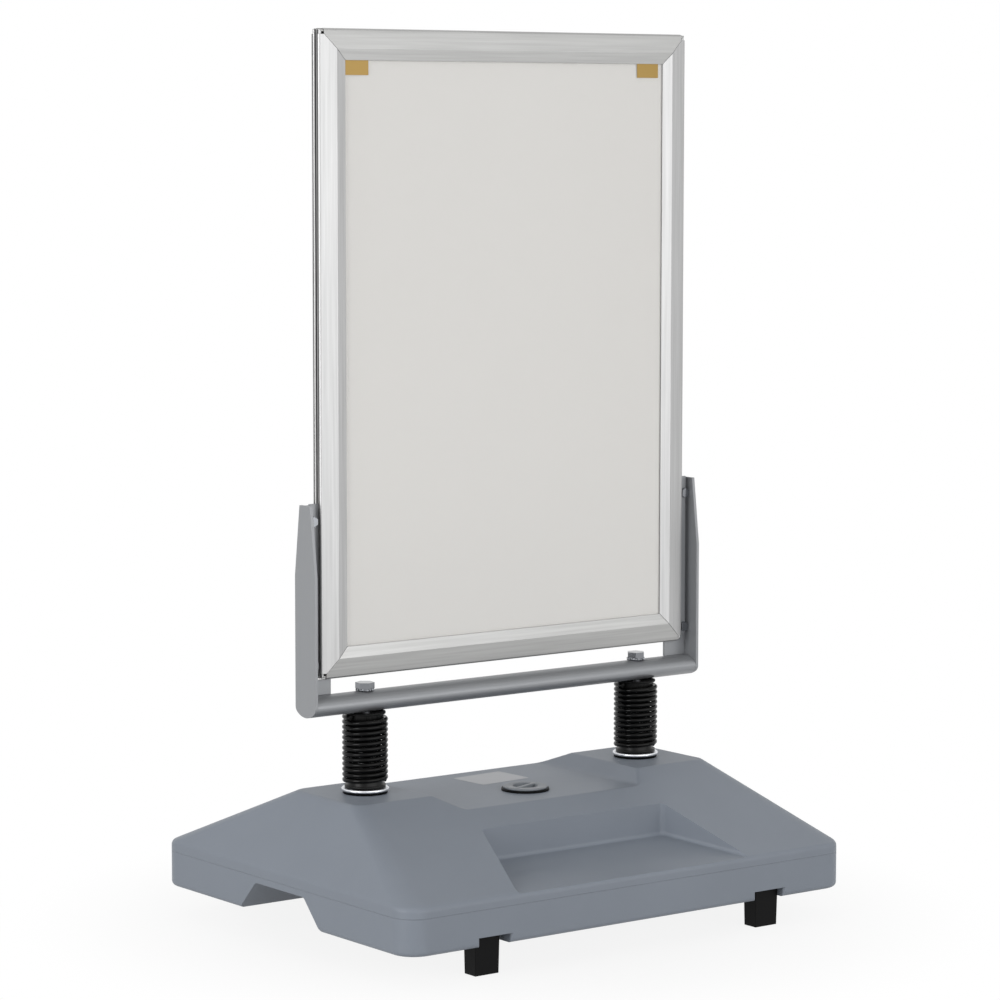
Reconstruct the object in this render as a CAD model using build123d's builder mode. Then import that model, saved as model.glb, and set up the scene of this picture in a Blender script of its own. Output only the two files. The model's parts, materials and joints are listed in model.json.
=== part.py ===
# Water base pavement sign: a water tank carries a two-sided poster frame on two coil springs.
# Millimetres, +Z up. X runs along the sign, the front faces -Y, and the floor is at Z = 0.
from build123d import *
import math
import os

os.makedirs("parts", exist_ok=True)

# Tank: a flat slab with a hipped crown, cut lower between two spring pads
tank_length = 793.0
tank_depth = 621.0
floor_gap = 42.5
slab_height = 66.0
crown_height = 100.0
end_slope_run = 76.5
pad_inner_reach = 61.5
pad_half_depth = 80.0
slab_corner_radius = 36.0
crown_corner_radius = 22.0
tank_wall = 5.0
slab_crease_radius = 9.0
slab_bottom_radius = 7.0
crown_edge_radius = 12.0

# Saddle between the pads, trays in the front and back slopes, channel under the tank
saddle_drop = 17.5
saddle_slope_run = 29.0
saddle_toe_radius = 30.0
saddle_crest_radius = 10.0
tray_back_y = 166.0
tray_half_back = 165.0
tray_half_front = 210.0
tray_floor_rise = 16.0
tray_corner_radius = 9.0
tray_floor_radius = 6.0
channel_half_bottom = 103.0
channel_half_top = 61.0
channel_height = 43.0
channel_roof_radius = 10.0

# Feet and the notches over them
foot_x = 253.0
foot_width = 42.0
foot_length = 27.0
foot_setback = 13.0
notch_x = 248.0
notch_half_width = 26.5
notch_height = 14.0
notch_clearance = 4.0
notch_mouth_radius = 5.0
foot_taper = 1.0
foot_screw_radius = 4.0
foot_screw_head_radius = 7.0
foot_screw_head = 5.0
foot_screw_recess = 3.0
foot_screw_bite = 18.0
foot_recess_gap = 0.5
screw_hole_gap = 0.1

# Filler cap on the saddle
cap_x = 5.0
cap_y = -45.0
cap_radius = 32.5
cap_thickness = 3.0
cap_edge = 1.0
cap_skirt_radius = 26.0
cap_skirt_length = 12.0
cap_wall = 3.0
cap_pocket_radius = 18.5
cap_pocket_depth = 8.0
cap_bar_width = 7.0
cap_bar_turn = 20.0
gasket_radius = 35.0
gasket_thickness = 3.0
neck_clearance = 0.4
neck_wall = 5.0
neck_depth = 20.0

# Springs, their plugs and seats
spring_inset = 97.5
coil_radius = 29.5
wire_radius = 3.45
wire_sides = 6
coil_turns = 12.5
spring_height = 109.0
coil_seat_gap = 0.3
points_per_turn = 48
pad_rubber_radius = 32.0
pad_rubber_thickness = 3.5
seat_ring_radius = 34.0
seat_ring_thickness = 4.5
seat_ring_edge = 1.0
plug_collar_radius = 29.5
lower_collar_height = 4.5
upper_collar_height = 2.5
plug_edge = 2.0
plug_core_gap = 0.65
plug_core_length = 25.0
plug_bore_clearance = 0.1
base_bolt_radius = 8.0
base_bolt_head_radius = 12.0
base_bolt_head_height = 16.0
base_bolt_seat_height = 5.0
base_bolt_socket_depth = 8.0
base_bolt_recess_gap = 0.5
base_bolt_tip_gap = 3.5
bush_radius = 14.0
bush_length = 36.0
boss_wall = 12.0
boss_floor = 6.0

# Crossbeam and the bolts through it
beam_depth = 50.0
beam_height = 30.0
beam_end_radius = 10.0
beam_wall = 2.5
beam_bolt_radius = 8.0
beam_bolt_hole_gap = 0.5
beam_bolt_flats = 24.0
beam_bolt_head = 8.5
beam_bolt_tip = 20.0
beam_bolt_bore_spare = 2.0
washer_radius = 13.5
washer_tooth_depth = 1.6
washer_thickness = 3.5
washer_teeth = 16
left_hex_turn = 23.0
right_hex_turn = 53.0

# Brackets
plate_frame_gap = 16.0
plate_thickness = 4.5
plate_full_height = 200.5
plate_taper_height = 100.0
plate_top_depth = 26.0
web_thickness = 4.0
web_foot_reach = 40.0
web_frame_gap = 1.5
beam_frame_gap = 23.5
strip_thickness = 3.2
strip_depth_in_groove = 16.0
strip_outreach = 13.0
strip_top_rise = 2.0
strip_bottom_rise = 9.0
bracket_bolt_radius = 4.0
bracket_bolt_hole_gap = 0.2
bracket_bolt_flats = 13.0
bracket_bolt_head = 5.3
bracket_hex_turn = 30.0
bracket_nut_height = 6.5
bracket_bolt_spare = 2.0
bracket_bolt_inset = 7.0
lower_bolt_rise = 20.0
upper_bolt_rise = 224.0

# Frame: outer size, and the section from its outer edge (u) and its middle plane (v)
frame_width = 660.0
frame_height = 911.0
rail_face = 44.0
corner_notch = 8.0
mitre_gap = 0.25
hinge_u = 3.6
hinge_v = 7.0
curl_radius = 3.6
curl_wall = 1.35
bead_clearance = 0.1
bead_neck = 1.5
bead_root = 1.0
neck_angle = 305.0
curl_start = -10.0
curl_end = 185.0
skin_start = 100.0
skin_end = 70.0
rail_skin = 1.4
facet_thickening = 0.1
inner_lip_shift = 0.5
lip_end_u = 6.5
lip_end_v = 11.2
facet_end_u = 15.5
facet_end_v = 12.4
ridge_u = 28.0
ridge_v = 14.0
rail_tip_gap = 0.3
rail_tip_thickness = 1.3
groove_half = 1.8
groove_depth = 17.0
outer_lip_u = 0.8
outer_lip_v = 3.0
shoulder_u = 8.6
flange_half = 4.5
flange_reach = 40.0
chamber_wall = 1.5
pocket_u = 31.8
rib_width = 1.3
rib_height = 4.1
backing_thickness = 3.0
poster_side_play = 0.7
poster_end_play = 2.7
poster_thickness = 0.3
cover_thickness = 1.2
sheet_play = 0.5
tab_width = 40.0
tab_height = 28.0
tab_show = 20.5
left_tab_inset = 0.0
right_tab_inset = 8.0
tab_thickness = 0.2
key_leg = 70.0
key_gap = 0.2
clip_width = 14.0
clip_skin = 0.5
clip_bend = 2.6
clip_setback = 2.0
clip_rise = 5.0
clip_spacing = 220.0
strip_screw_radius = 2.0
strip_screw_u = 12.3
strip_screws_per_side = 2

# Places and heights worked out from the sizes above
plate_inner_x = frame_width / 2 + plate_frame_gap
spring_x = plate_inner_x - spring_inset
pad_end_x = tank_length / 2 - end_slope_run
saddle_half_top = spring_x - pad_inner_reach
saddle_half_bottom = saddle_half_top - saddle_slope_run
slab_top = floor_gap + slab_height
pad_top = slab_top + crown_height
saddle_top = pad_top - saddle_drop
ring_bottom = pad_top + pad_rubber_thickness
spring_bottom = ring_bottom + seat_ring_thickness
spring_top = spring_bottom + spring_height
beam_middle = spring_top + beam_height / 2
beam_top = beam_middle + beam_height / 2
frame_bottom = beam_top + beam_frame_gap
frame_top = frame_bottom + frame_height
frame_middle = frame_bottom + frame_height / 2
plate_straight_top = beam_middle + plate_full_height - beam_height / 2
plate_top = plate_straight_top + plate_taper_height
both_sides = (-1, 1)

# A cut starts this far outside the piece, and an edge this close to a place counts as lying there
overcut = 1.0
edge_reach = 1.5


def box_between(low, high, mode=Mode.ADD):
    """A box from its lowest corner to its highest one."""
    size = [b - a for a, b in zip(low, high)]
    middle = [(a + b) / 2 for a, b in zip(low, high)]
    with Locations(tuple(middle)):
        Box(*size, mode=mode)


def save(builder, label):
    """Name a finished piece and write it to its own file."""
    builder.part.label = label
    export_step(builder.part, f"parts/{label}.step")


# Tank
def hipped_body(inset):
    """The slab and its hipped crown, drawn in by inset on every side."""
    length = tank_length - 2 * inset
    depth = tank_depth - 2 * inset
    with BuildSketch(Plane.XY.offset(floor_gap + inset)) as underside:
        RectangleRounded(length, depth, slab_corner_radius - inset)
    with BuildSketch(Plane.XY.offset(slab_top)) as crease:
        RectangleRounded(length, depth, slab_corner_radius - inset)
    with BuildSketch(Plane.XY.offset(pad_top - inset)) as crown:
        RectangleRounded(2 * (pad_end_x - inset), 2 * (pad_half_depth - inset), crown_corner_radius - inset)
    extrude(underside.sketch, amount=slab_height - inset)
    loft([crease.sketch, crown.sketch], ruled=True)


def saddle_cut(inset):
    """The wide shallow cut between the spring pads."""
    slope = (saddle_half_top - saddle_half_bottom) / saddle_drop
    floor_z = saddle_top - inset
    rise = saddle_drop + inset + overcut
    with BuildSketch(Plane.XZ) as outline:
        with BuildLine():
            Polyline(
                (-saddle_half_bottom - inset, floor_z),
                (saddle_half_bottom + inset, floor_z),
                (saddle_half_bottom + inset + slope * rise, floor_z + rise),
                (-saddle_half_bottom - inset - slope * rise, floor_z + rise),
                close=True,
            )
        make_face()
    extrude(outline.sketch, amount=tank_depth, both=True, mode=Mode.SUBTRACT)


def channel_cut(inset):
    """The channel that runs under the tank from end to end."""
    with BuildSketch(Plane.YZ) as outline:
        with BuildLine():
            Polyline(
                (-channel_half_bottom - inset, floor_gap - overcut),
                (channel_half_bottom + inset, floor_gap - overcut),
                (channel_half_top + inset, floor_gap + channel_height + inset),
                (-channel_half_top - inset, floor_gap + channel_height + inset),
                close=True,
            )
        make_face()
        fillet(vertices().group_by(Axis.Y)[-1], channel_roof_radius)
    extrude(outline.sketch, amount=tank_length, both=True, mode=Mode.SUBTRACT)


def tray_outline(side, inset):
    """The tray's floor on one side, a trapezoid that falls gently outwards."""
    run = tank_depth / 2 - tray_back_y
    fall = math.atan2(tray_floor_rise, run)
    over_run = run + tray_floor_rise
    half_end = tray_half_back + (tray_half_front - tray_half_back) * over_run / run
    floor_plane = Plane(
        origin=(0, side * tray_back_y, slab_top + tray_floor_rise - inset),
        x_dir=(side, 0, 0),
        z_dir=(0, side * math.sin(fall), math.cos(fall)),
    )
    with BuildSketch(floor_plane) as outline:
        with BuildLine():
            Polyline(
                (-tray_half_back - inset, -inset),
                (tray_half_back + inset, -inset),
                (half_end + inset, over_run / math.cos(fall)),
                (-half_end - inset, over_run / math.cos(fall)),
                close=True,
            )
        make_face()
        fillet(vertices().group_by(Axis.Y)[0], tray_corner_radius)
    return outline.sketch


def foot_places():
    """The four feet: side in X and side in Y."""
    return [(sx, sy) for sy in both_sides for sx in both_sides]


def notch_cut(inset):
    """The four notches in the slab's bottom edge, open to the outside."""
    inner_y = tank_depth / 2 - foot_setback - foot_length - notch_clearance - inset
    half = notch_half_width + inset
    mouth = 0 if inset else notch_mouth_radius
    with BuildSketch(Plane.XY.offset(floor_gap + notch_height + inset)) as outline:
        for sx, sy in foot_places():
            with Locations((sx * notch_x, sy * (inner_y + tank_depth / 2) / 2)):
                Rectangle(2 * half, tank_depth / 2 - inner_y)
            if mouth:
                corners = [(sx * notch_x + side * half, sy * tank_depth / 2) for side in both_sides]
                with Locations(*corners):
                    Rectangle(2 * mouth, 2 * mouth)
                rounds = [(x + side * mouth, y - sy * mouth) for side, (x, y) in zip(both_sides, corners)]
                with Locations(*rounds):
                    Circle(mouth, mode=Mode.SUBTRACT)
    extrude(outline.sketch, amount=-notch_height - inset - overcut, mode=Mode.SUBTRACT)


neck_radius = cap_skirt_radius + neck_clearance
boss_bottom = pad_top - bush_length - boss_floor
spring_places = [(side * spring_x, 0) for side in both_sides]
notch_top = floor_gap + notch_height
foot_y = tank_depth / 2 - foot_setback - foot_length / 2
foot_centres = [(sx * foot_x, sy * foot_y) for sx, sy in foot_places()]

with BuildPart() as water_space:
    hipped_body(tank_wall)
    saddle_cut(tank_wall)
    channel_cut(tank_wall)
    for side in both_sides:
        extrude(tray_outline(side, tank_wall), amount=crown_height, dir=(0, 0, 1), mode=Mode.SUBTRACT)
    notch_cut(tank_wall)
    with BuildSketch(Plane.XY.offset(boss_bottom)):
        with Locations(*spring_places):
            Circle(bush_radius + boss_wall)
    extrude(amount=pad_top - boss_bottom, mode=Mode.SUBTRACT)
    with BuildSketch(Plane.XY.offset(saddle_top - neck_depth)):
        with Locations((cap_x, cap_y)):
            Circle(neck_radius + neck_wall)
    extrude(amount=neck_depth, mode=Mode.SUBTRACT)
    with BuildSketch(Plane.XY.offset(notch_top)):
        with Locations(*foot_centres):
            Circle(foot_screw_radius + tank_wall)
    extrude(amount=foot_screw_bite + tank_wall, mode=Mode.SUBTRACT)

tray_spaces = []
for side in both_sides:
    with BuildPart() as tray_space:
        extrude(tray_outline(side, 0), amount=crown_height, dir=(0, 0, 1))
        tray_floor = faces().sort_by(lambda face: face.normal_at().Z)[0]
        fillet(tray_floor.edges(), tray_floor_radius)
    tray_spaces.append(tray_space.part)


def lies_at(edge, x, z):
    """Whether the middle of an edge lies at this distance from the centre and this height."""
    middle = edge.center()
    return abs(abs(middle.X) - x) < edge_reach and abs(middle.Z - z) < edge_reach


def on_crown_rim(edge):
    """Whether an edge runs round the outside of the crown, over the pads and the saddle."""
    middle = edge.center()
    outside = abs(middle.Y) > pad_half_depth / 2 or abs(middle.X) > spring_x
    return middle.Z > saddle_top - edge_reach and outside


with BuildPart() as tank:
    hipped_body(0)
    fillet(edges().filter_by(Plane.XY).group_by(Axis.Z)[1], slab_crease_radius)
    fillet(edges().filter_by(Plane.XY).group_by(Axis.Z)[0], slab_bottom_radius)
    saddle_cut(0)
    saddle_toes = edges().filter_by(lambda edge: lies_at(edge, saddle_half_bottom, saddle_top))
    saddle_crests = edges().filter_by(lambda edge: lies_at(edge, saddle_half_top, pad_top))
    fillet(saddle_crests, saddle_crest_radius)
    fillet(saddle_toes, saddle_toe_radius)
    fillet(edges().filter_by(on_crown_rim), crown_edge_radius)
    channel_cut(0)
    for tray_space in tray_spaces:
        add(tray_space, mode=Mode.SUBTRACT)
    notch_cut(0)
    add(water_space.part, mode=Mode.SUBTRACT)
    with BuildSketch(Plane.XY.offset(saddle_top + overcut)):
        with Locations((cap_x, cap_y)):
            Circle(neck_radius)
    extrude(amount=-neck_depth - tank_wall, mode=Mode.SUBTRACT)
    with BuildSketch(Plane.XY.offset(pad_top + overcut)):
        with Locations(*spring_places):
            Circle(bush_radius)
    extrude(amount=-bush_length - overcut, mode=Mode.SUBTRACT)
    with BuildSketch(Plane.XY.offset(notch_top)):
        with Locations(*foot_centres):
            Circle(foot_screw_radius + screw_hole_gap)
    extrude(amount=foot_screw_bite + overcut, mode=Mode.SUBTRACT)
save(tank, "tank")


# Filler cap and its gasket
cap_base = saddle_top + gasket_thickness
cap_centre = Plane((cap_x, cap_y, cap_base))
skirt_length = gasket_thickness + cap_skirt_length

with BuildPart() as cap_gasket:
    with BuildSketch(Plane((cap_x, cap_y, saddle_top))):
        Circle(gasket_radius)
        Circle(neck_radius, mode=Mode.SUBTRACT)
    extrude(amount=gasket_thickness)
save(cap_gasket, "cap_gasket")

with BuildPart() as filler_cap:
    with BuildSketch(cap_centre):
        Circle(cap_radius)
    extrude(amount=cap_thickness)
    chamfer(edges().group_by(Axis.Z)[-1], cap_edge)
    with BuildSketch(cap_centre):
        Circle(cap_skirt_radius)
    extrude(amount=-skirt_length)
    with BuildSketch(cap_centre.offset(cap_thickness)):
        Circle(cap_pocket_radius)
        Rectangle(2 * cap_radius, cap_bar_width, rotation=cap_bar_turn, mode=Mode.SUBTRACT)
    extrude(amount=-cap_pocket_depth, mode=Mode.SUBTRACT)
    with BuildSketch(cap_centre.offset(-skirt_length)):
        Circle(cap_skirt_radius - cap_wall)
    extrude(amount=skirt_length + cap_thickness - cap_pocket_depth - cap_wall, mode=Mode.SUBTRACT)
save(filler_cap, "filler_cap")


# Feet and their screws
def foot_name(sx, sy):
    """The name of one foot from its sides."""
    return f"foot_{'front' if sy < 0 else 'rear'}_{'left' if sx < 0 else 'right'}"


recess_top = foot_screw_recess + foot_screw_head
foot_shrink = 2 * notch_top * math.tan(math.radians(foot_taper))
for (side_x, side_y), centre in zip(foot_places(), foot_centres):
    with BuildPart() as foot:
        with BuildSketch(Plane.XY):
            with Locations(centre):
                Rectangle(foot_width - foot_shrink, foot_length - foot_shrink)
        extrude(amount=notch_top, taper=-foot_taper)
        with BuildSketch(Plane.XY):
            with Locations(centre):
                Circle(foot_screw_head_radius + foot_recess_gap)
        extrude(amount=recess_top, mode=Mode.SUBTRACT)
        with BuildSketch(Plane.XY):
            with Locations(centre):
                Circle(foot_screw_radius + screw_hole_gap)
        extrude(amount=notch_top, mode=Mode.SUBTRACT)
    save(foot, foot_name(side_x, side_y))

with BuildPart() as foot_screws:
    with BuildSketch(Plane.XY.offset(foot_screw_recess)):
        with Locations(*foot_centres):
            RegularPolygon(foot_screw_head_radius, 6)
    extrude(amount=foot_screw_head)
    with BuildSketch(Plane.XY.offset(recess_top)):
        with Locations(*foot_centres):
            Circle(foot_screw_radius)
    extrude(amount=notch_top - recess_top + foot_screw_bite)
save(foot_screws, "foot_screws")


# Spring seats: rubber pads, rings, bushes in the tank, and the bolts that hold the lower plugs
bolt_seat = spring_bottom + base_bolt_seat_height
with BuildPart() as pad_rubbers:
    with BuildSketch(Plane.XY.offset(pad_top)):
        with Locations(*spring_places):
            Circle(pad_rubber_radius)
            Circle(base_bolt_radius + plug_bore_clearance, mode=Mode.SUBTRACT)
    extrude(amount=pad_rubber_thickness)
save(pad_rubbers, "pad_rubbers")

with BuildPart() as seat_rings:
    with BuildSketch(Plane.XY.offset(ring_bottom)):
        with Locations(*spring_places):
            Circle(seat_ring_radius)
            Circle(base_bolt_radius + plug_bore_clearance, mode=Mode.SUBTRACT)
    extrude(amount=seat_ring_thickness)
    chamfer(edges().filter_by(GeomType.CIRCLE).group_by(SortBy.RADIUS)[-1], seat_ring_edge)
save(seat_rings, "seat_rings")

with BuildPart() as tank_bushes:
    with BuildSketch(Plane.XY.offset(pad_top - bush_length)):
        with Locations(*spring_places):
            Circle(bush_radius)
            Circle(base_bolt_radius + plug_bore_clearance, mode=Mode.SUBTRACT)
    extrude(amount=bush_length)
save(tank_bushes, "tank_bushes")

with BuildPart() as base_bolts:
    with BuildSketch(Plane.XY.offset(bolt_seat)):
        with Locations(*spring_places):
            Circle(base_bolt_radius)
    extrude(amount=pad_top - bush_length + base_bolt_tip_gap - bolt_seat)
    with BuildSketch(Plane.XY.offset(bolt_seat)):
        with Locations(*spring_places):
            Circle(base_bolt_head_radius)
    extrude(amount=base_bolt_head_height)
    with BuildSketch(Plane.XY.offset(bolt_seat + base_bolt_head_height)):
        with Locations(*spring_places):
            RegularPolygon(base_bolt_radius, 6)
    extrude(amount=-base_bolt_socket_depth, mode=Mode.SUBTRACT)
save(base_bolts, "base_bolts")


# Spring plugs
plug_core_radius = coil_radius - wire_radius - plug_core_gap


def side_name(side):
    """The word for one side of the sign."""
    return "left" if side < 0 else "right"


for side in both_sides:
    with BuildPart() as lower_plug:
        with BuildSketch(Plane((side * spring_x, 0, spring_bottom))):
            Circle(plug_collar_radius)
        extrude(amount=lower_collar_height)
        with BuildSketch(Plane((side * spring_x, 0, spring_bottom + lower_collar_height))):
            Circle(plug_core_radius)
        extrude(amount=plug_core_length)
        chamfer(edges().group_by(Axis.Z)[-1], plug_edge)
        with BuildSketch(Plane((side * spring_x, 0, bolt_seat))):
            Circle(base_bolt_head_radius + base_bolt_recess_gap)
        extrude(amount=plug_core_length + lower_collar_height, mode=Mode.SUBTRACT)
        with BuildSketch(Plane((side * spring_x, 0, spring_bottom))):
            Circle(base_bolt_radius + plug_bore_clearance)
        extrude(amount=base_bolt_seat_height, mode=Mode.SUBTRACT)
    save(lower_plug, f"lower_plug_{side_name(side)}")

    with BuildPart() as upper_plug:
        with BuildSketch(Plane((side * spring_x, 0, spring_top - upper_collar_height))):
            Circle(plug_collar_radius)
        extrude(amount=upper_collar_height)
        with BuildSketch(Plane((side * spring_x, 0, spring_top - upper_collar_height))):
            Circle(plug_core_radius)
        extrude(amount=-plug_core_length)
        chamfer(edges().group_by(Axis.Z)[0], plug_edge)
        with BuildSketch(Plane((side * spring_x, 0, spring_top))):
            Circle(beam_bolt_radius + plug_bore_clearance)
        extrude(amount=-beam_bolt_tip - beam_bolt_bore_spare, mode=Mode.SUBTRACT)
    save(upper_plug, f"upper_plug_{side_name(side)}")


# Coil springs: one unbroken wire, each half turn drawn as two arcs that meet smoothly
coil_low = spring_bottom + lower_collar_height + coil_seat_gap + wire_radius
coil_high = spring_top - upper_collar_height - coil_seat_gap - wire_radius
coil_pitch = (coil_high - coil_low) / coil_turns


def coil_point(centre_x, turn, hand):
    """A point on the middle line of the wire, and the direction of the wire there."""
    angle = hand * 2 * math.pi * turn
    rise = coil_pitch / (2 * math.pi)
    place = Vector(
        centre_x + coil_radius * math.cos(angle), coil_radius * math.sin(angle), coil_low + coil_pitch * turn
    )
    lead = 0 if turn in (0, coil_turns) else rise
    along = Vector(-hand * coil_radius * math.sin(angle), hand * coil_radius * math.cos(angle), lead)
    return place, along.normalized()


def arc_pair(start, start_dir, finish, finish_dir):
    """Two arcs, tangent to each other, from one point and direction to the next."""
    chord = finish - start
    a = 2 * start_dir.dot(finish_dir) - 2
    b = -2 * chord.dot(start_dir + finish_dir)
    c = chord.dot(chord)
    reach = (-b - math.sqrt(b * b - 4 * a * c)) / (2 * a)
    first = start + start_dir * reach
    second = finish - finish_dir * reach
    joint = (first + second) * 0.5
    TangentArc(start, joint, tangent=start_dir)
    TangentArc(joint, finish, tangent=second - first)


def least_gap(wire):
    """The smallest space between two turns of the wire, measured on points along it."""
    count = int(coil_turns * points_per_turn)
    points = [tuple(wire.position_at(i / count)) for i in range(count + 1)]
    apart = points_per_turn // 2
    return min(
        math.dist(points[i], points[j])
        for i in range(len(points))
        for j in range(i + apart, len(points))
    ) - 2 * wire_radius


for side in both_sides:
    half_turns = [i / 2 for i in range(int(2 * coil_turns) + 1)]
    stations = [coil_point(side * spring_x, turn, 1) for turn in half_turns]
    first_place, first_dir = stations[0]
    last_place, last_dir = stations[-1]
    with BuildPart() as spring:
        with BuildLine() as coil_line:
            Line(first_place - first_dir * 2 * wire_radius, first_place)
            for (here, here_dir), (there, there_dir) in zip(stations, stations[1:]):
                arc_pair(here, here_dir, there, there_dir)
            Line(last_place, last_place + last_dir * 2 * wire_radius)
        with BuildSketch(Plane(first_place - first_dir * 2 * wire_radius, x_dir=(0, 0, 1), z_dir=first_dir)):
            RegularPolygon(wire_radius, wire_sides)
        sweep(clean=False)
    save(spring, f"spring_{side_name(side)}")
    print(f"spring_{side_name(side)}: least gap to itself {least_gap(coil_line.wires()[0]):.2f} mm")


# Crossbeam, its bolts and toothed washers
def oval(plane, inset):
    """The crossbeam's outline, drawn in by inset: wide arcs above and below, tight arcs at the ends."""
    end_radius = beam_end_radius - inset
    end_y = beam_depth / 2 - beam_end_radius
    half_height = beam_height / 2
    wide_radius = (end_y**2 + half_height**2 - beam_end_radius**2) / (2 * (half_height - beam_end_radius))
    tilt = math.atan2(end_y, wide_radius - half_height)
    touch_y = end_y + end_radius * math.sin(tilt)
    touch_z = end_radius * math.cos(tilt)
    top_z = half_height - inset
    with BuildSketch(plane) as outline:
        with BuildLine():
            ThreePointArc((-touch_y, touch_z), (0, top_z), (touch_y, touch_z))
            ThreePointArc((touch_y, touch_z), (end_y + end_radius, 0), (touch_y, -touch_z))
            ThreePointArc((touch_y, -touch_z), (0, -top_z), (-touch_y, -touch_z))
            ThreePointArc((-touch_y, -touch_z), (-end_y - end_radius, 0), (-touch_y, touch_z))
        make_face()
    return outline.sketch


with BuildPart() as crossbeam:
    beam_plane = Plane((0, 0, beam_middle), x_dir=(0, 1, 0), z_dir=(1, 0, 0))
    extrude(oval(beam_plane, 0), amount=plate_inner_x, both=True)
    extrude(oval(beam_plane, beam_wall), amount=plate_inner_x, both=True, mode=Mode.SUBTRACT)
    with Locations(*[(side * spring_x, 0, beam_middle) for side in both_sides]):
        Hole(beam_bolt_radius + beam_bolt_hole_gap)
save(crossbeam, "crossbeam")

hex_turns = {-1: left_hex_turn, 1: right_hex_turn}
bolt_head_bottom = beam_top + washer_thickness
for side in both_sides:
    with BuildPart() as lock_washer:
        with BuildSketch(Plane((side * spring_x, 0, beam_top))):
            Circle(washer_radius - washer_tooth_depth)
            with PolarLocations(washer_radius - washer_tooth_depth, washer_teeth):
                Rectangle(2 * washer_tooth_depth, washer_tooth_depth)
            Circle(beam_bolt_radius + beam_bolt_hole_gap, mode=Mode.SUBTRACT)
        extrude(amount=washer_thickness)
    save(lock_washer, f"lock_washer_{side_name(side)}")

    with BuildPart() as beam_bolt:
        with BuildSketch(Plane((side * spring_x, 0, bolt_head_bottom))):
            RegularPolygon(beam_bolt_flats / 2, 6, major_radius=False, rotation=hex_turns[side])
        extrude(amount=beam_bolt_head)
        with BuildSketch(Plane((side * spring_x, 0, bolt_head_bottom))):
            Circle(beam_bolt_radius)
        extrude(amount=spring_top - beam_bolt_tip - bolt_head_bottom)
    save(beam_bolt, f"beam_bolt_{side_name(side)}")


# Brackets: side plates, webs, and the strips that join them to the frame
web_front = strip_thickness / 2
strip_bottom = frame_bottom + strip_bottom_rise
strip_top = plate_top + strip_top_rise
bolt_x = plate_inner_x - bracket_bolt_inset
bolt_heights = [frame_bottom + lower_bolt_rise, frame_bottom + upper_bolt_rise]
screw_gap = (strip_top - strip_bottom) / strip_screws_per_side
screw_heights = [strip_bottom + screw_gap * (i + 0.5) for i in range(strip_screws_per_side)]
screw_x = frame_width / 2 - strip_screw_u


def across(x, y, z):
    """A plane that faces the front, with its origin at a point."""
    return Plane((x, y, z), x_dir=(1, 0, 0), z_dir=(0, -1, 0))


for side in both_sides:
    with BuildPart() as side_plate:
        foot_plane = Plane((side * plate_inner_x, 0, beam_middle), x_dir=(0, 1, 0), z_dir=(1, 0, 0))
        extrude(oval(foot_plane, 0), amount=side * plate_thickness)
        with BuildSketch(Plane((side * plate_inner_x, 0, 0), x_dir=(0, 1, 0), z_dir=(1, 0, 0))):
            with BuildLine():
                Polyline(
                    (-beam_depth / 2, beam_middle),
                    (-beam_depth / 2, plate_straight_top),
                    (-plate_top_depth / 2, plate_top),
                    (plate_top_depth / 2, plate_top),
                    (beam_depth / 2, plate_straight_top),
                    (beam_depth / 2, beam_middle),
                    close=True,
                )
            make_face()
        extrude(amount=side * plate_thickness)
    save(side_plate, f"side_plate_{side_name(side)}")

    with BuildPart() as web:
        with BuildSketch(across(0, web_front, 0)):
            with BuildLine():
                Polyline(
                    (side * plate_inner_x, beam_top),
                    (side * plate_inner_x, plate_top),
                    (side * (frame_width / 2 + web_frame_gap), plate_top),
                    (side * (frame_width / 2 + web_frame_gap), frame_bottom - web_frame_gap),
                    (side * (plate_inner_x - web_foot_reach), frame_bottom - web_frame_gap),
                    (side * (plate_inner_x - web_foot_reach), beam_top),
                    close=True,
                )
            make_face()
            with Locations(*[(side * bolt_x, z) for z in bolt_heights]):
                Circle(bracket_bolt_radius + bracket_bolt_hole_gap, mode=Mode.SUBTRACT)
        extrude(amount=-web_thickness)
    save(web, f"web_{side_name(side)}")

    with BuildPart() as strip:
        near_x = side * (frame_width / 2 - strip_depth_in_groove)
        far_x = side * (frame_width / 2 + strip_outreach)
        box_between(
            (min(near_x, far_x), -web_front, strip_bottom), (max(near_x, far_x), web_front, strip_top)
        )
        with BuildSketch(across(0, -web_front, 0)):
            with Locations(*[(side * bolt_x, z) for z in bolt_heights]):
                Circle(bracket_bolt_radius + bracket_bolt_hole_gap)
            with Locations(*[(side * screw_x, z) for z in screw_heights]):
                Circle(strip_screw_radius + screw_hole_gap)
        extrude(amount=-strip_thickness, mode=Mode.SUBTRACT)
    save(strip, f"fixing_strip_{side_name(side)}")

bolt_places = [(side * bolt_x, z) for side in both_sides for z in bolt_heights]
nut_front = web_front + web_thickness
with BuildPart() as bracket_bolts:
    with BuildSketch(across(0, -web_front, 0)):
        with Locations(*bolt_places):
            RegularPolygon(bracket_bolt_flats / 2, 6, major_radius=False, rotation=bracket_hex_turn)
    extrude(amount=bracket_bolt_head)
    with BuildSketch(across(0, -web_front, 0)):
        with Locations(*bolt_places):
            Circle(bracket_bolt_radius)
    extrude(amount=-strip_thickness - web_thickness - bracket_nut_height - bracket_bolt_spare)
save(bracket_bolts, "bracket_bolts")

with BuildPart() as bracket_nuts:
    with BuildSketch(across(0, nut_front, 0)):
        with Locations(*bolt_places):
            RegularPolygon(bracket_bolt_flats / 2, 6, major_radius=False, rotation=bracket_hex_turn)
            Circle(bracket_bolt_radius + plug_bore_clearance, mode=Mode.SUBTRACT)
    extrude(amount=-bracket_nut_height)
save(bracket_nuts, "bracket_nuts")

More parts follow.
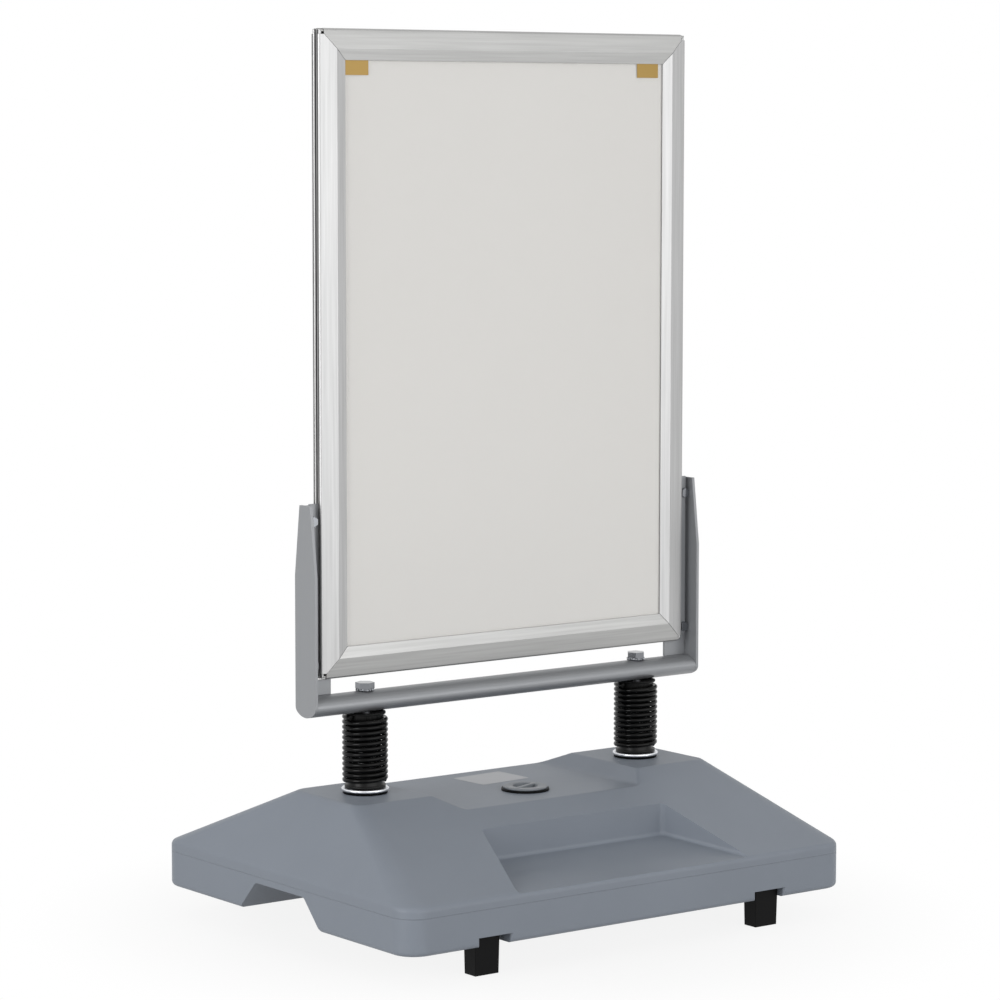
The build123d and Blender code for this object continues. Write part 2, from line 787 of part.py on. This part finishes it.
with BuildPart() as strip_screws:
    with BuildSketch(across(0, -flange_half, 0)):
        with Locations(*[(side * screw_x, z) for side in both_sides for z in screw_heights]):
            Circle(strip_screw_radius)
    extrude(amount=-flange_half - web_front)
save(strip_screws, "strip_screws")


# Frame sections: u runs inwards from the frame's outer edge, v outwards from its middle plane
stack_face = flange_half + backing_thickness + poster_thickness + cover_thickness
tip_v = stack_face + rail_tip_gap
bead_radius = curl_radius - curl_wall - bead_clearance
frame_sides = {
    "top": ((0, frame_top), (0, 0, -1)),
    "bottom": ((0, frame_bottom), (0, 0, 1)),
    "left": ((-frame_width / 2, frame_middle), (1, 0, 0)),
    "right": ((frame_width / 2, frame_middle), (-1, 0, 0)),
}
frame_faces = {"front": -1, "rear": 1}


def section_plane(side_key, face):
    """The plane of a rail's section, with its x along u and its y along v."""
    (x, z), inward = frame_sides[side_key]
    outward = Vector(0, face, 0)
    return Plane((x, 0, z), x_dir=inward, z_dir=Vector(*inward).cross(outward))


def half_run(side_key):
    """Half the length of a side of the frame."""
    return (frame_width if side_key in ("top", "bottom") else frame_height) / 2


def plan_sketch(side_key, notch, reach):
    """The outline of a rail seen from the front, with mitred ends and a notch at each outer corner."""
    (x, z), inward = frame_sides[side_key]
    end = half_run(side_key) - mitre_gap
    with BuildSketch(Plane((x, 0, z), x_dir=inward, z_dir=(0, 1, 0))) as outline:
        with BuildLine():
            Polyline(
                (-overcut, notch - end),
                (notch, notch - end),
                (reach, reach - end),
                (reach, end - reach),
                (notch, end - notch),
                (-overcut, end - notch),
                close=True,
            )
        make_face()
    return outline.sketch


def panel(low, high, mode=Mode.ADD):
    """A rectangle in a section, from its lowest corner to its highest one."""
    with Locations(((low[0] + high[0]) / 2, (low[1] + high[1]) / 2)):
        Rectangle(high[0] - low[0], high[1] - low[1], mode=mode)


def around_hinge(angle, distance):
    """A point at this angle and distance from a rail's hinge axis."""
    turn = math.radians(angle)
    return (hinge_u + distance * math.cos(turn), hinge_v + distance * math.sin(turn))


def rail_section(plane):
    """A snap rail: a faceted skin that ends in a curl around the hinge bead, open below."""
    open_angle = 360 + curl_start - curl_end
    far = 3 * curl_radius
    inner_ridge_v = ridge_v - rail_skin - facet_thickening
    inner_facet_v = facet_end_v - rail_skin - facet_thickening
    with BuildSketch(plane) as section:
        with Locations((hinge_u, hinge_v)):
            Circle(curl_radius)
        with BuildLine():
            Polyline(
                around_hinge(skin_start, curl_radius),
                (lip_end_u, lip_end_v),
                (facet_end_u, facet_end_v),
                (ridge_u, ridge_v),
                (rail_face, tip_v + rail_tip_thickness),
                (rail_face, tip_v),
                (ridge_u, inner_ridge_v),
                (facet_end_u, inner_facet_v),
                (lip_end_u + inner_lip_shift, lip_end_v - rail_skin),
                around_hinge(skin_end, curl_radius - curl_wall / 2),
                close=True,
            )
        make_face()
        with Locations((hinge_u, hinge_v)):
            Circle(curl_radius - curl_wall, mode=Mode.SUBTRACT)
        with BuildLine():
            Polyline(
                around_hinge(0, 0),
                around_hinge(curl_end, far),
                around_hinge(curl_end + open_angle / 3, far),
                around_hinge(curl_end + 2 * open_angle / 3, far),
                around_hinge(curl_start, far),
                close=True,
            )
        make_face(mode=Mode.SUBTRACT)
    return section.sketch


def carrier_section(plane):
    """A centre extrusion: groove, chamber, sheet flange, ribs, and a hinge bead on each face."""
    with BuildSketch(plane) as section:
        panel((outer_lip_u, -outer_lip_v), (groove_depth + chamber_wall, outer_lip_v))
        panel((shoulder_u, -flange_half), (flange_reach, flange_half))
        panel((0, -groove_half), (groove_depth, groove_half), Mode.SUBTRACT)
        panel(
            (groove_depth + chamber_wall, chamber_wall - flange_half),
            (flange_reach - chamber_wall, flange_half - chamber_wall),
            Mode.SUBTRACT,
        )
        for face in both_sides:
            neck = math.radians(neck_angle)
            foot_run = (hinge_v - outer_lip_v + bead_root) / -math.sin(neck)
            neck_foot = (hinge_u + foot_run * math.cos(neck), face * (outer_lip_v - bead_root))
            with Locations((hinge_u, face * hinge_v)):
                Circle(bead_radius)
            half = bead_neck / 2 / -math.sin(neck)
            with BuildLine():
                Polyline(
                    (hinge_u - half, face * hinge_v),
                    (hinge_u + half, face * hinge_v),
                    (neck_foot[0] + half, neck_foot[1]),
                    (neck_foot[0] - half, neck_foot[1]),
                    close=True,
                )
            make_face()
            low = (pocket_u - rib_width, min(face * flange_half, face * (flange_half + rib_height)))
            high = (pocket_u, max(face * flange_half, face * (flange_half + rib_height)))
            panel(low, high)
    return section.sketch


for side_key in frame_sides:
    with BuildPart() as carrier:
        extrude(carrier_section(section_plane(side_key, 1)), amount=half_run(side_key), both=True)
        mitred_plan = plan_sketch(side_key, 0, flange_reach + overcut)
        extrude(mitred_plan, amount=frame_width, both=True, mode=Mode.INTERSECT)
        if side_key in ("left", "right"):
            side = -1 if side_key == "left" else 1
            with BuildSketch(across(0, -groove_half, 0)):
                with Locations(*[(side * screw_x, z) for z in screw_heights]):
                    Circle(strip_screw_radius + screw_hole_gap)
            extrude(amount=2 * flange_half, mode=Mode.SUBTRACT)
    save(carrier, f"carrier_{side_key}")

for face_key, face in frame_faces.items():
    for side_key in frame_sides:
        with BuildPart() as rail:
            extrude(rail_section(section_plane(side_key, face)), amount=half_run(side_key), both=True)
            notched_plan = plan_sketch(side_key, corner_notch, rail_face + overcut)
            extrude(notched_plan, amount=frame_width, both=True, mode=Mode.INTERSECT)
        save(rail, f"rail_{face_key}_{side_key}")


# Corner keys in the chambers of the centre extrusions
key_near = groove_depth + chamber_wall + key_gap
key_far = flange_reach - chamber_wall - key_gap
key_half = flange_half - chamber_wall
with BuildPart() as corner_keys:
    for sx in both_sides:
        for top in (False, True):
            corner_z = frame_top if top else frame_bottom
            down = -1 if top else 1
            with BuildSketch(Plane.XZ) as key_outline:
                with BuildLine():
                    Polyline(
                        (sx * (frame_width / 2 - key_near), corner_z + down * key_near),
                        (sx * (frame_width / 2 - key_leg), corner_z + down * key_near),
                        (sx * (frame_width / 2 - key_leg), corner_z + down * key_far),
                        (sx * (frame_width / 2 - key_far), corner_z + down * key_far),
                        (sx * (frame_width / 2 - key_far), corner_z + down * key_leg),
                        (sx * (frame_width / 2 - key_near), corner_z + down * key_leg),
                        close=True,
                    )
                make_face()
            extrude(key_outline.sketch, amount=key_half, both=True)
save(corner_keys, "corner_keys")


# Flat bow springs that press the rails shut
def clip_section(plane):
    """One bow spring: a flat base on the flange that folds back over itself."""
    base_u = groove_depth + clip_setback
    bend_u = pocket_u - rib_width - clip_setback - clip_bend
    fold_u = bend_u + clip_bend / 2
    low = flange_half
    high = flange_half + clip_bend
    tip = (base_u, flange_half + clip_rise)
    with BuildSketch(plane) as section:
        with BuildLine():
            Polyline(
                (base_u, low),
                (bend_u, low),
                (fold_u, (low + high) / 2),
                (bend_u, high),
                tip,
                (tip[0], tip[1] - clip_skin),
                (bend_u - clip_skin / 2, high - clip_skin),
                (fold_u - clip_skin, (low + high) / 2),
                (bend_u - clip_skin / 2, low + clip_skin),
                (base_u, low + clip_skin),
                close=True,
            )
        make_face()
    return section.sketch


for face_key, face in frame_faces.items():
    with BuildPart() as clips:
        for side_key in frame_sides:
            plane = section_plane(side_key, face)
            count = round(2 * half_run(side_key) / clip_spacing)
            spacing = 2 * half_run(side_key) / count
            for i in range(count):
                along = (i + 0.5) * spacing - half_run(side_key)
                extrude(clip_section(plane.offset(along - clip_width / 2)), amount=clip_width)
    save(clips, f"rail_clips_{face_key}")


# Panels, posters, clear covers and their pull tabs
sheet_width = frame_width - 2 * (pocket_u + sheet_play)
sheet_height = frame_height - 2 * (pocket_u + sheet_play)
poster_width = sheet_width - 2 * poster_side_play
poster_height = sheet_height - 2 * poster_end_play


def sheet(width, height, start_v, thickness, face):
    """A flat sheet in the frame, from one distance off the middle plane to another."""
    inner_y = face * start_v
    outer_y = face * (start_v + thickness)
    box_between(
        (-width / 2, min(inner_y, outer_y), frame_middle - height / 2),
        (width / 2, max(inner_y, outer_y), frame_middle + height / 2),
    )


opening_half = frame_width / 2 - rail_face
opening_top = frame_top - rail_face
poster_v = flange_half + backing_thickness
cover_v = poster_v + poster_thickness
for face_key, face in frame_faces.items():
    with BuildPart() as backing:
        sheet(sheet_width, sheet_height, flange_half, backing_thickness, face)
    save(backing, f"backing_{face_key}")
    with BuildPart() as poster:
        sheet(poster_width, poster_height, poster_v, poster_thickness, face)
    save(poster, f"poster_{face_key}")
    with BuildPart() as cover:
        sheet(sheet_width, sheet_height, cover_v, cover_thickness, face)
    save(cover, f"cover_{face_key}")
    with BuildPart() as tabs:
        for side, inset in ((face, left_tab_inset), (-face, right_tab_inset)):
            far_x = side * (opening_half - inset)
            near_x = side * (opening_half - inset - tab_width)
            near_y = face * stack_face
            far_y = face * (stack_face + tab_thickness)
            box_between(
                (min(near_x, far_x), min(near_y, far_y), opening_top - tab_show),
                (max(near_x, far_x), max(near_y, far_y), opening_top - tab_show + tab_height),
            )
    save(tabs, f"cover_tabs_{face_key}")
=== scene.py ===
"""Looks for the water base pavement sign: materials, small details, light and camera.

Everything is in metres in the CAD model's own frame: +Z up, the front faces -Y, the floor is Z = 0.
"""

import json
import math

import bmesh
import bpy
from mathutils import Matrix, Vector


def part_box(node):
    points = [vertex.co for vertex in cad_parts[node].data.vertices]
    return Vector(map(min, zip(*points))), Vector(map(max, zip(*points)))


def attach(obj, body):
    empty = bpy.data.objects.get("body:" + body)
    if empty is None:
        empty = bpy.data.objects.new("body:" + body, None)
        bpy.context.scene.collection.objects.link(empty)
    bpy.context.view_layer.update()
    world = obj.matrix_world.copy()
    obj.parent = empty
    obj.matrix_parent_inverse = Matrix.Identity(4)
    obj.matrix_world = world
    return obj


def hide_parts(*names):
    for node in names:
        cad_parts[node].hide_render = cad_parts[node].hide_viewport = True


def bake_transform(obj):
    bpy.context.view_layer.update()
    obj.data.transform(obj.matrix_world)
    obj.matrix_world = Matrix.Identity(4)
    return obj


MM = 0.001
WHITE = (1.0, 1.0, 1.0, 1.0)

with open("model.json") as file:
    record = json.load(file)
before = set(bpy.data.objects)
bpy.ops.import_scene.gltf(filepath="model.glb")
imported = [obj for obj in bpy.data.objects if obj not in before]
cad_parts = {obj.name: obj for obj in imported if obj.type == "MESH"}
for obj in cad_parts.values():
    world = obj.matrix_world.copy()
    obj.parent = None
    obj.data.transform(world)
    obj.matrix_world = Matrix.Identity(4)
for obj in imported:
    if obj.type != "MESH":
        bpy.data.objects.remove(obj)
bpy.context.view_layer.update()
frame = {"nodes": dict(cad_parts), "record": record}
nodes = frame["nodes"]
scene = bpy.context.scene
scene.view_settings.view_transform = "Standard"


def tone(red, green, blue):
    """A display colour, 0 to 255, as the linear colour that a shader socket takes."""
    def linear(value):
        value /= 255
        return value / 12.92 if value <= 0.04045 else ((value + 0.055) / 1.055) ** 2.4
    return (linear(red), linear(green), linear(blue), 1.0)


def mesh_object(name, mesh):
    """An object in the scene from a finished bmesh, which is freed."""
    data = bpy.data.meshes.new(name)
    mesh.to_mesh(data)
    mesh.free()
    obj = bpy.data.objects.new(name, data)
    scene.collection.objects.link(obj)
    return obj


def add_node(tree, kind, **settings):
    """A new shader node in a tree, with its own settings."""
    made = tree.nodes.new(kind)
    for key, value in settings.items():
        setattr(made, key, value)
    return made


def seen_share(tree):
    """1 for what the camera, a mirror or a clear sheet sees, and 0 for light on its way to a surface."""
    paths = add_node(tree, "ShaderNodeLightPath")
    mirrored = add_node(tree, "ShaderNodeMath", operation="MAXIMUM")
    tree.links.new(paths.outputs["Is Glossy Ray"], mirrored.inputs[0])
    tree.links.new(paths.outputs["Is Transmission Ray"], mirrored.inputs[1])
    seen = add_node(tree, "ShaderNodeMath", operation="MAXIMUM")
    tree.links.new(paths.outputs["Is Camera Ray"], seen.inputs[0])
    tree.links.new(mirrored.outputs[0], seen.inputs[1])
    return seen.outputs[0]


# Materials
class Surface:
    """A material built from a Principled shader, with helpers that hang patterns on it."""

    def __init__(self, name, colour, roughness, metallic=0.0, **sockets):
        self.material = bpy.data.materials.new(name)
        self.material.use_nodes = True
        self.tree = self.material.node_tree
        self.shader = self.tree.nodes["Principled BSDF"]
        self.colour = colour
        self.shader.inputs["Base Color"].default_value = colour
        self.shader.inputs["Roughness"].default_value = roughness
        self.shader.inputs["Metallic"].default_value = metallic
        for socket, value in sockets.items():
            self.shader.inputs[socket.replace("_", " ")].default_value = value
        self.last_relief = None

    def node(self, kind, **settings):
        return add_node(self.tree, kind, **settings)

    def link(self, start, end):
        self.tree.links.new(start, end)

    def noise(self, scale, stretch=(1, 1, 1), detail=3.0):
        """A noise pattern of so many waves per metre, times the stretch along each axis."""
        place = self.node("ShaderNodeTexCoord")
        mapping = self.node("ShaderNodeMapping")
        mapping.inputs["Scale"].default_value = stretch
        made = self.node("ShaderNodeTexNoise")
        made.inputs["Scale"].default_value = scale
        made.inputs["Detail"].default_value = detail
        self.link(place.outputs["Object"], mapping.inputs["Vector"])
        self.link(mapping.outputs["Vector"], made.inputs["Vector"])
        return made.outputs["Fac"]

    def mottle(self, source, amount):
        """Makes the base colour lighter and darker by this share, following a pattern."""
        mix = self.node("ShaderNodeMix", data_type="RGBA")
        mix.inputs["A"].default_value = [c * (1 - amount) for c in self.colour[:3]] + [1]
        mix.inputs["B"].default_value = [c * (1 + amount) for c in self.colour[:3]] + [1]
        self.link(source, mix.inputs["Factor"])
        self.link(mix.outputs["Result"], self.shader.inputs["Base Color"])

    def line_round(self, height, half_width, depth):
        """Sinks a thin level line into the surface at a height above the floor."""
        place = self.node("ShaderNodeTexCoord")
        parts = self.node("ShaderNodeSeparateXYZ")
        self.link(place.outputs["Object"], parts.inputs[0])
        away = self.node("ShaderNodeMath", operation="SUBTRACT")
        away.inputs[1].default_value = height
        self.link(parts.outputs["Z"], away.inputs[0])
        distance = self.node("ShaderNodeMath", operation="ABSOLUTE")
        self.link(away.outputs[0], distance.inputs[0])
        groove = self.node("ShaderNodeMapRange", interpolation_type="SMOOTHSTEP")
        groove.inputs["From Min"].default_value = 0.0
        groove.inputs["From Max"].default_value = half_width
        self.link(distance.outputs[0], groove.inputs["Value"])
        self.relief(groove.outputs["Result"], depth)

    def relief(self, source, depth):
        """Adds a bump of this depth in metres."""
        bump = self.node("ShaderNodeBump")
        bump.inputs["Strength"].default_value = 1.0
        bump.inputs["Distance"].default_value = depth
        self.link(source, bump.inputs["Height"])
        if self.last_relief:
            self.link(self.last_relief.outputs["Normal"], bump.inputs["Normal"])
        self.last_relief = bump
        self.link(bump.outputs["Normal"], self.shader.inputs["Normal"])


SEAM_HEIGHT = 94.5 * MM
SEAM_HALF_WIDTH = 0.9 * MM
SEAM_DEPTH = 0.5 * MM

# The moulded plastic has a fine grain and wide shallow waves.
tank_plastic = Surface("tank plastic", tone(127, 134, 144), 0.5)
tank_plastic.mottle(tank_plastic.noise(9), 0.05)
tank_plastic.line_round(SEAM_HEIGHT, SEAM_HALF_WIDTH, SEAM_DEPTH)
tank_plastic.relief(tank_plastic.noise(900, detail=1.0), 0.06 * MM)
tank_plastic.relief(tank_plastic.noise(14, detail=2.0), 0.9 * MM)

cap_plastic = Surface("cap plastic", tone(120, 125, 131), 0.45)
black_rubber = Surface("black rubber", tone(8, 8, 9), 0.5, Specular_IOR_Level=0.1)
black_rubber.relief(black_rubber.noise(700), 0.08 * MM)
black_plastic = Surface("black plastic", tone(9, 9, 9), 0.35, Specular_IOR_Level=0.2)
black_coat = Surface("black spring coat", tone(5, 5, 5), 0.16, Specular_IOR_Level=0.15)
grey_coat = Surface("grey coat", tone(147, 149, 152), 0.4, 0.35)
grey_coat.relief(grey_coat.noise(1200, detail=1.0), 0.02 * MM)
zinc = Surface("zinc", tone(170, 172, 176), 0.3, 1.0)
bright_zinc = Surface("bright zinc", tone(128, 130, 134), 0.14, 1.0)
ring_metal = Surface("ring metal", tone(222, 224, 228), 0.36, 1.0)
brass = Surface("brass", tone(190, 150, 85), 0.35, 1.0)
spring_steel = Surface("spring steel", tone(150, 150, 152), 0.3, 1.0)
backing_plastic = Surface("backing plastic", tone(205, 205, 203), 0.5)
poster_paper = Surface("poster paper", tone(236, 234, 230), 0.7)
clear_sheet = Surface("clear sheet", tone(255, 255, 255), 0.12, Alpha=0.06)
gold_tape = Surface("gold tape", tone(160, 130, 66), 0.4, 0.4)
blank_label = Surface("blank label", tone(138, 141, 147), 0.3)


def brushed(name, colour, roughness, level):
    """Anodised aluminium with streaks along the rail, which is level or upright."""
    def along(length, width):
        return (length, width, width) if level else (width, width, length)
    surface = Surface(name, colour, roughness, 1.0)
    surface.mottle(surface.noise(60, along(0.1, 5)), 0.2)
    surface.relief(surface.noise(60, along(0.4, 30)), 0.004 * MM)
    return surface


# The rails are all one anodised aluminium. The level top and bottom rails and clips take a darker copy
# of it, and that darker tone is painted shade for the way light falls on them.
anodised_upright = brushed("anodised upright", tone(172, 172, 172), 0.44, level=False)
anodised_level_painted_shade = brushed("anodised level with painted shade", tone(165, 165, 164), 0.42, level=True)

MATERIAL_OF_SLOT = {
    "tank_plastic": tank_plastic,
    "cap_plastic": cap_plastic,
    "black_rubber": black_rubber,
    "zinc_steel": zinc,
    "bright_bolts": bright_zinc,
    "brass_bushes": brass,
    "ring_metal": ring_metal,
    "black_plugs": black_plastic,
    "black_springs": black_coat,
    "anodised": anodised_upright,
    "spring_steel": spring_steel,
    "backing_plastic": backing_plastic,
    "poster_paper": poster_paper,
    "clear_sheet": clear_sheet,
    "gold_tabs": gold_tape,
}
SLOT_OF_NODE = {entry["node"]: entry["material_slot"] for entry in frame["record"]["subparts"]}
PAINTED = ("crossbeam", "side_plate", "web", "fixing_strip")
FACETED = ("rail_", "carrier_")


def surface_of(name):
    """The surface a CAD node gets."""
    if name.startswith(PAINTED):
        return grey_coat
    # Level rails and clips get the darker copy, whose tone is painted shade.
    if name.startswith(FACETED) and name.endswith(("top", "bottom")):
        return anodised_level_painted_shade
    return MATERIAL_OF_SLOT[SLOT_OF_NODE[name]]


# Edges
WELD_DISTANCE = 0.001 * MM
BEVEL_STEPS = 3
SHARP_ANGLE = math.radians(28)
FACET_ANGLE = math.radians(3)
# How wide each piece's sharp edges are rounded, in millimetres; the first name that fits counts.
EDGE_WIDTHS = {
    "tank": 3.0,
    "foot_": 1.2,
    "crossbeam": 0.6,
    "side_plate": 0.7,
    "web": 0.5,
    "fixing_strip": 0.3,
    "beam_bolt": 0.8,
    "bracket_bolts": 0.5,
    "rail_front": 0.25,
    "rail_rear": 0.25,
    "carrier_": 0.25,
}


def soften(obj, width_mm, faceted):
    """Joins the mesh's split corners, rounds its sharp edges and shades it smoothly between facets."""
    weld = obj.modifiers.new("weld", "WELD")
    weld.merge_threshold = WELD_DISTANCE
    if width_mm:
        bevel = obj.modifiers.new("bevel", "BEVEL")
        bevel.width = width_mm * MM
        bevel.segments = BEVEL_STEPS
        bevel.limit_method = "ANGLE"
        bevel.angle_limit = SHARP_ANGLE
        bevel.use_clamp_overlap = True
        bevel.harden_normals = False
    if faceted:
        facets = obj.modifiers.new("facets", "EDGE_SPLIT")
        facets.split_angle = FACET_ANGLE
    normals = obj.modifiers.new("normals", "WEIGHTED_NORMAL")
    normals.keep_sharp = True
    for polygon in obj.data.polygons:
        polygon.use_smooth = True


for name, obj in nodes.items():
    obj.data.materials.clear()
    obj.data.materials.append(surface_of(name).material)
    edge_width = next((width for key, width in EDGE_WIDTHS.items() if name.startswith(key)), 0.0)
    soften(obj, edge_width, name.startswith(FACETED))

# The poster lies face to face on the panel and the cover, so it is drawn a hair smaller.
POSTER_SHRINK = 0.05 * MM
for name in ("poster_front", "poster_rear"):
    shrink = nodes[name].modifiers.new("shrink", "DISPLACE")
    shrink.mid_level = 0.0
    shrink.strength = -POSTER_SHRINK


# Springs
def tube(name, points, radius, sides):
    """A closed tube round a line of points."""
    mesh = bmesh.new()
    rings = []
    normal = None
    for i, point in enumerate(points):
        ahead = points[min(i + 1, len(points) - 1)] - points[max(i - 1, 0)]
        ahead.normalize()
        if normal is None:
            normal = ahead.orthogonal().normalized()
        normal = (normal - ahead * normal.dot(ahead)).normalized()
        side = ahead.cross(normal)
        ring = []
        for k in range(sides):
            angle = 2 * math.pi * k / sides
            outward = normal * math.cos(angle) + side * math.sin(angle)
            ring.append(mesh.verts.new(point + outward * radius))
        rings.append(ring)
    for low, high in zip(rings, rings[1:]):
        for k in range(sides):
            mesh.faces.new((low[k], low[(k + 1) % sides], high[(k + 1) % sides], high[k]))
    mesh.faces.new(list(reversed(rings[0])))
    mesh.faces.new(rings[-1])
    bmesh.ops.recalc_face_normals(mesh, faces=mesh.faces)
    obj = mesh_object(name, mesh)
    for polygon in obj.data.polygons:
        polygon.use_smooth = len(polygon.vertices) == 4
    return obj


COIL_RADIUS = 29.5 * MM
WIRE_RADIUS = 3.45 * MM
WIRE_SIDES = 12
COIL_TURNS = 12.5
STEPS_PER_TURN = 40

for side in ("left", "right"):
    low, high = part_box(f"spring_{side}")
    plug_low, plug_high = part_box(f"lower_plug_{side}")
    centre_x = (plug_low.x + plug_high.x) / 2
    bottom = low.z + WIRE_RADIUS
    top = high.z - WIRE_RADIUS
    line = []
    count = int(COIL_TURNS * STEPS_PER_TURN)
    for i in range(count + 1):
        share = i / count
        angle = 2 * math.pi * COIL_TURNS * share
        line.append(Vector((centre_x + COIL_RADIUS * math.cos(angle),
                            COIL_RADIUS * math.sin(angle),
                            bottom + (top - bottom) * share)))
    # A short straight end leaves the coil at its bottom and its top.
    tail = Vector((0, -2 * WIRE_RADIUS, 0))
    coil = tube(f"coil_{side}", [line[0] + tail] + line + [line[-1] + tail], WIRE_RADIUS, WIRE_SIDES)
    coil.data.materials.append(black_coat.material)
    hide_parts(f"spring_{side}")
    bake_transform(coil)


# Blank label on the saddle
LABEL_SIZE = (90 * MM, 70 * MM)
LABEL_PLACE = (20 * MM, 58 * MM, 191.15 * MM)
LABEL_TURN = math.radians(4)
LABEL_CORNER = 4 * MM
ROUND_STEPS = 6


def label_outline():
    """The corners of the label, rounded."""
    half_x, half_y = (size / 2 - LABEL_CORNER for size in LABEL_SIZE)
    points = []
    for quarter, (sx, sy) in enumerate(((1, 1), (-1, 1), (-1, -1), (1, -1))):
        for i in range(ROUND_STEPS + 1):
            angle = math.pi / 2 * (quarter + i / ROUND_STEPS)
            points.append((sx * half_x + LABEL_CORNER * math.cos(angle),
                           sy * half_y + LABEL_CORNER * math.sin(angle), 0.0))
    return points


label_mesh = bmesh.new()
label_mesh.faces.new([label_mesh.verts.new(point) for point in label_outline()])
label = mesh_object("label", label_mesh)
label.location = LABEL_PLACE
label.rotation_euler.z = LABEL_TURN
label.data.materials.append(blank_label.material)
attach(label, "base")


# Camera, fitted to the photo
CAMERA_PLACE = (-3.1722, -4.1916, 1.1641)
CAMERA_YAW = math.radians(37.05)
CAMERA_PITCH = math.radians(5.99)
CAMERA_ROLL = math.radians(0.06)
FOCAL_SHARE = 3.62646
SENSOR_WIDTH = 36.0

camera_data = bpy.data.cameras.new("camera")
camera_data.sensor_width = SENSOR_WIDTH
camera_data.lens = FOCAL_SHARE * SENSOR_WIDTH
camera_data.clip_start = 0.1
camera_data.clip_end = 100
camera = bpy.data.objects.new("camera", camera_data)
scene.collection.objects.link(camera)
turn = (Matrix.Rotation(-CAMERA_YAW, 4, "Z")
        @ Matrix.Rotation(math.pi / 2 - CAMERA_PITCH, 4, "X")
        @ Matrix.Rotation(CAMERA_ROLL, 4, "Z"))
camera.matrix_world = Matrix.Translation(CAMERA_PLACE) @ turn
scene.camera = camera


# Light
def softbox(name, place, aim, width, height, power):
    """A rectangular lamp of so many watts at a place, turned towards a point."""
    data = bpy.data.lights.new(name, "AREA")
    data.shape = "RECTANGLE"
    data.size = width
    data.size_y = height
    data.energy = power
    lamp = bpy.data.objects.new(name, data)
    scene.collection.objects.link(lamp)
    lamp.location = place
    lamp.rotation_euler = (Vector(aim) - Vector(place)).to_track_quat("-Z", "Y").to_euler()


softbox("key", (0.5, -4.2, 1.25), (0, 0, 0.7), 5.6, 2.5, 78)
softbox("left fill", (-4.5, -0.6, 1.4), (0, 0, 0.3), 2.4, 2.4, 95)
softbox("top", (0.0, 0.5, 4.0), (0, 0, 0.0), 2.5, 2.5, 16)

# The surroundings are white to the camera and to what mirrors them, and light the object less.
WORLD_LIGHT = 0.38


def background(tree, strength):
    """A white background shader."""
    made = add_node(tree, "ShaderNodeBackground")
    made.inputs["Color"].default_value = WHITE
    made.inputs["Strength"].default_value = strength
    return made


world = bpy.data.worlds.new("studio")
scene.world = world
world.use_nodes = True
sky = world.node_tree
sky.nodes.clear()
surroundings = add_node(sky, "ShaderNodeMixShader")
sky.links.new(seen_share(sky), surroundings.inputs["Fac"])
sky.links.new(background(sky, WORLD_LIGHT).outputs[0], surroundings.inputs[1])
sky.links.new(background(sky, 1.0).outputs[0], surroundings.inputs[2])
sky.links.new(surroundings.outputs[0], add_node(sky, "ShaderNodeOutputWorld").inputs["Surface"])


# Floor, which glows white far from the object and near it shows some of its shadow
FLOOR_RADIUS = 30.0
FLOOR_SIDES = 64
FLOOR_DROP = 0.5 * MM
FLOOR_GREY = (0.6, 0.6, 0.6, 1.0)
NEAR_GLOW = 0.88
SHADOW_START = 0.3
SHADOW_REACH = 0.75

floor_mesh = bmesh.new()
bmesh.ops.create_circle(floor_mesh, cap_ends=True, segments=FLOOR_SIDES, radius=FLOOR_RADIUS)
floor = mesh_object("floor", floor_mesh)
floor.location.z = -FLOOR_DROP

floor_paint = Surface("floor", FLOOR_GREY, 0.9)
floor_paint.shader.inputs["Specular IOR Level"].default_value = 0.0
glow = floor_paint.node("ShaderNodeEmission")
glow.inputs["Strength"].default_value = 1.0
geometry = floor_paint.node("ShaderNodeNewGeometry")
distance = floor_paint.node("ShaderNodeVectorMath", operation="LENGTH")
floor_paint.link(geometry.outputs["Position"], distance.inputs[0])
fade = floor_paint.node("ShaderNodeMapRange", interpolation_type="SMOOTHSTEP")
fade.inputs["From Min"].default_value = SHADOW_START
fade.inputs["From Max"].default_value = SHADOW_REACH
fade.inputs["To Min"].default_value = NEAR_GLOW
fade.inputs["To Max"].default_value = 1.0
floor_paint.link(distance.outputs["Value"], fade.inputs["Value"])
glow_share = floor_paint.node("ShaderNodeMath", operation="MULTIPLY")
floor_paint.link(fade.outputs["Result"], glow_share.inputs[0])
floor_paint.link(seen_share(floor_paint.tree), glow_share.inputs[1])
blend = floor_paint.node("ShaderNodeMixShader")
floor_paint.link(glow_share.outputs[0], blend.inputs["Fac"])
floor_paint.link(floor_paint.shader.outputs[0], blend.inputs[1])
floor_paint.link(glow.outputs[0], blend.inputs[2])
floor_paint.link(blend.outputs[0], floor_paint.tree.nodes["Material Output"].inputs["Surface"])
floor.data.materials.append(floor_paint.material)
